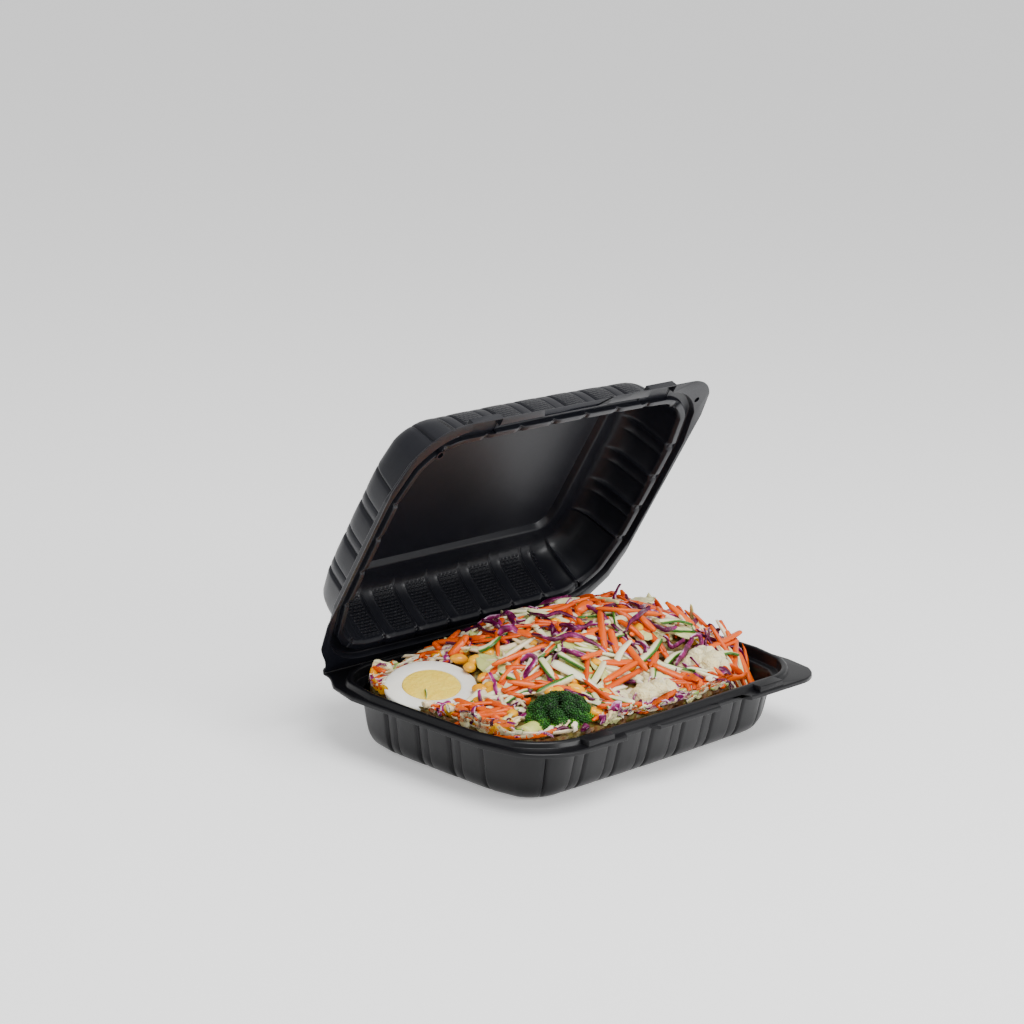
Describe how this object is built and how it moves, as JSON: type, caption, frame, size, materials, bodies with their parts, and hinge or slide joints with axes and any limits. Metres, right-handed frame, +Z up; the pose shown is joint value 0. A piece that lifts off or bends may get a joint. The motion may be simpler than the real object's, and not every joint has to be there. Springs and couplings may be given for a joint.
{
  "type": "takeaway meal container",
  "caption": "Hinged rectangular takeaway container in dark moulded plastic, standing open with a mixed salad meal in the tray.",
  "frame": {"origin": "centre of the tray's underside, on the plane it rests on", "axes": "+X along the hinge and the long side, -Y towards the latch side that opens, +Y towards the hinge, +Z up"},
  "size_m": [0.2344, 0.1856, 0.184],
  "materials": {
    "tray_plastic": "satin, fine grain",
    "lid_plastic": "satin, fine grain",
    "mixed_salad": "moist, many coloured",
    "egg_white": "smooth, moist",
    "egg_yolk": "crumbly, matt",
    "broccoli_green": "fine buds",
    "cauliflower_cream": "fine buds",
    "pale_vegetable": "moist"
  },
  "bodies": {
    "base": {"base_tray": "tray_plastic", "salad_heap": "mixed_salad", "egg_white": "egg_white", "egg_yolk": "egg_yolk", "broccoli_floret": "broccoli_green", "cauliflower_floret": "cauliflower_cream", "pale_chunk": "pale_vegetable"},
    "lid": {"lid_cover": "lid_plastic"}
  },
  "joints": [
    {"name": "lid_hinge", "type": "hinge", "parent": "base", "child": "lid", "pos_m": [0, 0.084, 0.03415], "axis": [-1, 0, 0], "range_deg": [-61.5, 110]}
  ]
}
